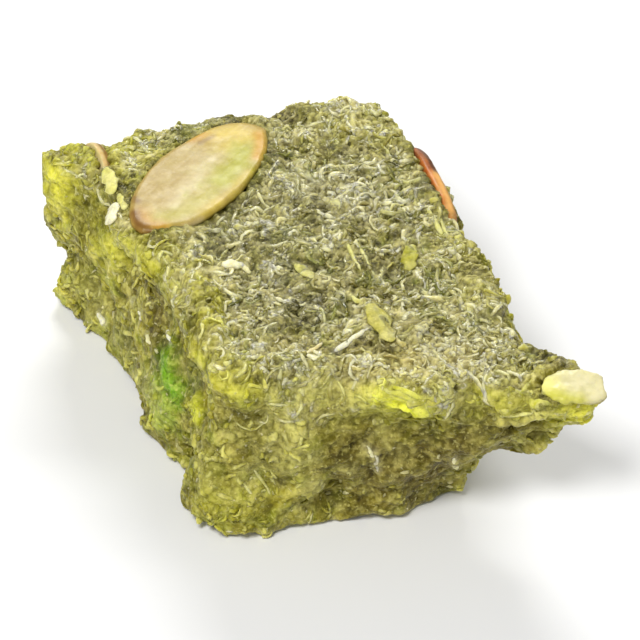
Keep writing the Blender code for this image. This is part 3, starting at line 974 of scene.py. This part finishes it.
def almond_axes(points):
    """(middle, along, across, through) of an almond's own shape, along to +X and through to +Z."""
    middle = points.mean(axis=0)
    _, _, axes = np.linalg.svd(points - middle, full_matrices=False)
    along, across, through = axes
    return middle, along * np.sign(along[0]), across, through * np.sign(through[2])


def squared_end(points):
    """A slice's points, with the round end that points to +X drawn out to two blunt corners."""
    middle, along, across, _ = almond_axes(points)
    away = points - middle
    length, width = away @ along, away @ across
    far, wide = length / length.max(), width / np.abs(width).max()
    spread = np.hypot(far, wide) / np.maximum(far ** 4 + wide ** 4, 1e-6) ** 0.25
    share = (spread - 1.0) * step_up(far, 0.0, 0.3)
    return points + np.outer(share * length, along) + np.outer(share * width, across)


def build_almond(name, node_name, flesh, face, skin, patches, voxel=0.12, soften=3, ragged=0.08):
    """A finer mesh of an almond's solid, with skin round its rim and painted shade low on it, grain along its
    face and ragged edges.
    """
    points, quads, _, normals = fine_surface(node_name, voxel, soften)
    if name == "almond_flake":
        points = squared_end(points)
    middle, along, across, through = almond_axes(points)
    away = points - middle
    length, width, depth = away @ along, away @ across, away @ through
    streaks = fractal(np.stack([length / 7.0, width / 0.6, depth], axis=1), 1.0, 3, 5.5)
    blotches = fractal(points, 2.6, 2, 8.3)
    side = 1.0 - step_up(np.abs(normals @ through), 0.45, 0.8)
    colour = mixed(face, face * STREAKED, step_up(streaks, -0.1, 0.6) * 0.3)
    colour = mixed(colour, face * BLOTCHED, step_up(blotches, 0.0, 0.5) * 0.6)
    # Painted shade: the lower part of the rim turns to deep skin colour, as a shadow line.
    under = step_up(-depth / np.abs(depth).max(), -0.3, 0.2)
    colour = mixed(colour, skin, side * 0.5 * step_up(fractal(points, 1.8, 2, 13.1), -0.5, 0.1))
    colour = mixed(colour, skin * DEEPER, side * under * 0.85)
    tree = BVHTree.FromPolygons(points.tolist(), quads.tolist())
    colour = patched(points, colour, tree, patches)
    height = 0.01 * streaks * (1.0 - side) + 0.05 * fractal(points, 3.0, 1, 9.1)
    height += ragged * (0.3 + 0.7 * side) * fractal(points, 2.2, 3, 17.3)
    piece = made_mesh(name, points + normals * height[:, None], [quads], colour)
    piece.data.materials.append(flesh)
    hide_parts(node_name)
    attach(piece, "root")


def build_almonds():
    """The four almonds."""
    flesh = almond_flesh()
    build_almond("almond_slice", "almond_slice_top", flesh,
                 face=NUT_CREAM, skin=NUT_GOLD, patches=SLICE_PATCHES, voxel=0.15, ragged=0.04)
    build_almond("almond_sliver", "almond_sliver_right", flesh,
                 face=NUT_SKIN, skin=NUT_DARK, patches=SLIVER_PATCHES)
    build_almond("almond_chip", "almond_chip_left", flesh,
                 face=NUT_IVORY * 1.2, skin=NUT_PEACH, patches=CHIP_PATCHES)
    build_almond("almond_flake", "almond_flake_corner", flesh,
                 face=NUT_WHITE, skin=NUT_WHITE, patches=FLAKE_PATCHES, soften=10, ragged=0.40)


def almond_tree():
    """A search tree over the solids of all the almonds."""
    points, faces = [], []
    for name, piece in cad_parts.items():
        if name.startswith("almond"):
            offset = len(points)
            points += [tuple(v.co / MM) for v in piece.data.vertices]
            faces += [[offset + i for i in face.vertices] for face in piece.data.polygons]
    return BVHTree.FromPolygons(points, faces)


def build_stage():
    """A pale floor that the piece lies on."""
    side = 4.0
    mesh = bpy.data.meshes.new("floor")
    corners = [(-side, -side, 0.0), (side, -side, 0.0), (side, side, 0.0), (-side, side, 0.0)]
    mesh.from_pydata(corners, [], [(0, 1, 2, 3)])
    floor = linked("floor", mesh)
    material, tree, shader = new_material("floor_white")
    shade = ranged(tree, noise_field(tree, 40.0, 2.0), (0.0, 1.0), (0.80, 0.82))
    tree.links.new(shade, shader.inputs["Base Color"])
    shader.inputs["Roughness"].default_value = 0.6
    mesh.materials.append(material)


def area_light(name, azimuth, elevation, distance, size, watts):
    """A soft rectangular light that looks at the piece. Azimuth 0 is the viewer's side, and 90 the right."""
    light = bpy.data.lights.new(name, "AREA")
    light.shape = "RECTANGLE"
    light.size, light.size_y = size
    light.energy = watts
    lamp = linked(name, light)
    turn, rise = math.radians(azimuth), math.radians(elevation)
    back = Vector((math.sin(turn) * math.cos(rise), -math.cos(turn) * math.cos(rise), math.sin(rise)))
    lamp.location = Vector((0.0, 0.0, 0.01)) + back * distance
    lamp.rotation_euler = back.to_track_quat("Z", "Y").to_euler()
    lamp.visible_camera = False


def build_light():
    """Soft studio light: a key and a small lamp from the front left, a panel behind, and a white surround."""
    area_light("key", azimuth=-28.0, elevation=60.0, distance=0.6, size=(0.18, 0.18), watts=2.7)
    area_light("panel", azimuth=178.0, elevation=40.0, distance=0.7, size=(0.32, 0.10), watts=3.0)
    area_light("front", azimuth=-22.0, elevation=16.0, distance=0.6, size=(0.10, 0.10), watts=0.35)
    world = bpy.data.worlds.new("surround")
    world.use_nodes = True
    surround = world.node_tree.nodes["Background"]
    surround.inputs["Color"].default_value = (1.0, 1.0, 1.0, 1.0)
    surround.inputs["Strength"].default_value = SURROUND
    bpy.context.scene.world = world
    bpy.context.scene.view_settings.view_transform = "Standard"


def build_camera():
    """The camera at the photo's viewing angle."""
    data = bpy.data.cameras.new("camera")
    data.sensor_width = SENSOR
    data.lens = SENSOR * PHOTO_FOCAL / WINDOW
    data.clip_start = 0.05
    camera = linked("camera", data)
    camera.location = eye() * MM
    camera.rotation_euler = view_back().to_track_quat("Z", "Y").to_euler()
    bpy.context.scene.camera = camera


def laying(surface, plain):
    """How thickly gourd lies on each face: (the top, the top and its rim, the sides, along the rims)."""
    places = surface.middles
    height = places[:, 2]
    top = top_share(places, surface.facing)
    calm = np.ones(len(places))
    for pixels, radius in CALM.values():
        calm *= 1.0 - 0.9 * near(places, plain, pixels, radius)
    over = top + 0.7 * near(places, plain, *RIM_STRANDS) + 0.001
    over *= calm * step_up(fractal(places, CLUMP_SIZE, 2, 81.7), -0.6, 0.3)
    side = (1.0 - top) * step_up(height, 0.6, 1.6) * calm
    patchy = step_up(fractal(places, 4.0, 2, 41.3), -0.3, 0.4)
    fringe = step_up(surface.rim, 0.2, 0.9) * step_up(height, 12.0, 19.0)
    rims = (fringe + 0.16 * side) * (0.2 + patchy) * calm
    return top, over, side, rims


def build_halwa(almonds):
    """The block and all that is scattered over it. Gives the block's object and a list of the others."""
    body = Body(almonds)
    surface = body.surface
    top, over, side, rims = laying(surface, body.plain)
    laid = [
        shreds("strands_top", TOP_STRAND, surface, almonds, over, top_strand_colour, SEED + 1),
        shreds("curls_top", TOP_CURL, surface, almonds, over, top_strand_colour, SEED + 6),
        shreds("shreds_top", TOP_SHRED, surface, almonds, top + 0.001, shred_colour, SEED + 2),
        shreds("shreds_side", SIDE_SHRED, surface, almonds, side, shred_colour, SEED + 3),
        shreds("curls", RIM_CURL, surface, almonds, rims, curl_colour, SEED + 4),
        bits("bits", BITS, surface),
    ]
    body.draw_up(laid)
    sandy = 0.9 * side + 0.5 * top
    grit = crumbs("grains", surface, almonds, 2400, sandy, (0.26, 0.65), grain_and_glint_colour, SEED + 5)
    block = made_mesh("halwa_body", body.points, [body.quads], body.colour)
    return block, [*(group.piece for group in laid), grit]


def main():
    """Builds the camera, the light, the floor, the halwa and the almonds in it."""
    build_camera()
    build_light()
    build_stage()
    block, scattered = build_halwa(almond_tree())
    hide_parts("halwa_block")
    block.data.materials.append(halwa_mash())
    strand, shred = gourd_strand(), gourd_shred()
    for piece in scattered:
        piece.data.materials.append(strand if piece.name in ("strands_top", "curls_top") else shred)
    for piece in [block, *scattered]:
        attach(piece, "root")
    build_almonds()


main()
